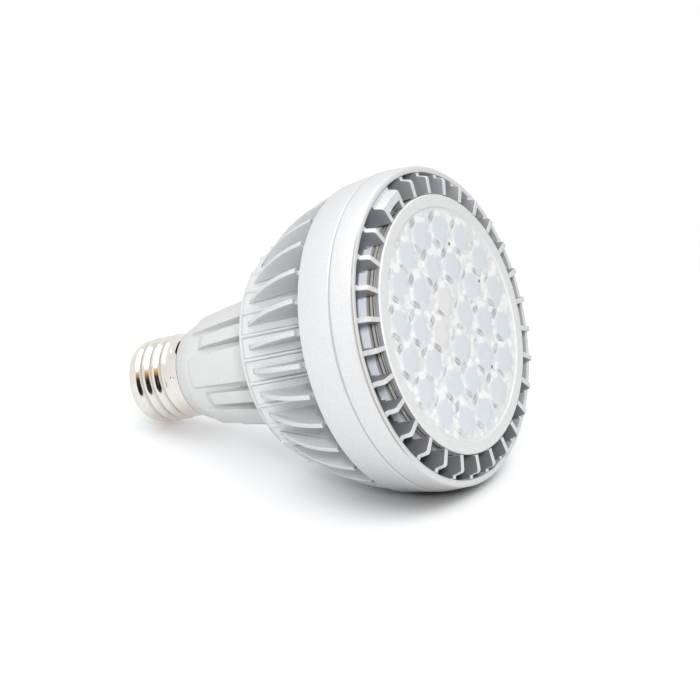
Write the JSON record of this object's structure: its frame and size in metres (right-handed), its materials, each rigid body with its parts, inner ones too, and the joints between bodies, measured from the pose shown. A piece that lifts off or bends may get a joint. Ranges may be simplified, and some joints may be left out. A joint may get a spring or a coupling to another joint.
{
  "type": "light bulb",
  "caption": "Reflector light bulb with a screw base, a panelled neck, a finned silver heat sink with a trim ring, and a clear plate of small round lenses.",
  "frame": {"origin": "bottom of the centre contact, on the lamp's axis", "axes": "+Z along the lamp's axis from the base to the lens plate; +X and +Y across it, with a blade on +X"},
  "size_m": [0.095, 0.095, 0.1157],
  "materials": {
    "nickel_plate": "bright nickel plate, lightly handled",
    "black_insulator": "glossy black moulded insulator",
    "neck_paint": "moulded plastic with satin silver paint",
    "silver_paint": "die-cast aluminium with satin silver paint, fine sandy texture",
    "clear_lens": "clear moulded lens plastic, polished cells and a frosted rim",
    "gasket_rubber": "dark silicone rubber",
    "board_white": "white solder mask on an aluminium board",
    "led_body": "white package plastic",
    "phosphor": "pale yellow phosphor silicone",
    "thermal_pad": "grey thermal pad",
    "steel_screw": "zinc-plated steel",
    "driver_board": "green fibreglass board",
    "capacitor_sleeve": "dark shrink sleeve",
    "ferrite": "sintered ferrite",
    "winding_tape": "yellow tape over copper wire",
    "choke_sleeve": "black shrink sleeve over copper wire",
    "rectifier_epoxy": "black moulded epoxy",
    "film_epoxy": "red-brown dipped epoxy",
    "wire_white": "white wire insulation",
    "wire_black": "black wire insulation",
    "wire_red": "red wire insulation"
  },
  "bodies": {
    "root": {"centre_contact": "nickel_plate", "base_insulator": "black_insulator", "screw_shell": "nickel_plate", "neck_housing": "neck_paint", "heat_sink": "silver_paint", "trim_ring": "silver_paint", "lens_plate": "clear_lens", "lens_gasket": "gasket_rubber", "thermal_pad": "thermal_pad", "led_board": "board_white", "led_packages": "led_body", "led_phosphors": "phosphor", "board_screws": "steel_screw", "flange_screws": "steel_screw", "driver_board": "driver_board", "bulk_capacitor": "capacitor_sleeve", "transformer_core": "ferrite", "transformer_winding": "winding_tape", "filter_choke": "choke_sleeve", "bridge_rectifier": "rectifier_epoxy", "film_capacitor": "film_epoxy", "live_wire": "wire_black", "neutral_wire": "wire_white", "led_wire_negative": "wire_black", "led_wire_positive": "wire_red"}
  },
  "joints": []
}
